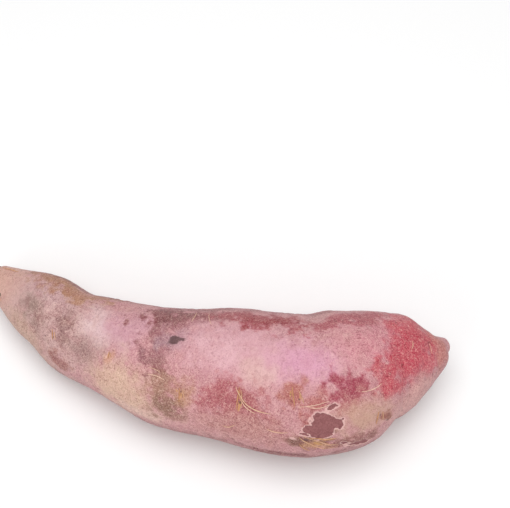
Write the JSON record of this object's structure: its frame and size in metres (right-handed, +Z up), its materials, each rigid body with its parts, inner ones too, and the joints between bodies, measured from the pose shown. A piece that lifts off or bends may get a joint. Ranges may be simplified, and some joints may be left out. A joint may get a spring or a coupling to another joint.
{
  "type": "japanese sweet potato",
  "caption": "Whole raw Japanese sweet potato, a bowed tapering storage root in dusty pink skin with dimples and fine rootlets, for kitchen, market and food scenes.",
  "frame": {"origin": "on the ground, below the middle of the root's overall box", "axes": "+X from the stem end to the root tip, +Y out of the inner side of the bow, +Z up"},
  "size_m": [0.1986, 0.0676, 0.0567],
  "materials": {
    "skin": "matte, finely grained raw skin in dusty pink with lavender bloom, rose and tan patches",
    "rootlet": "matte, dry straw-coloured root fibre"
  },
  "bodies": {
    "root": {"tuber": "skin"}
  },
  "joints": []
}
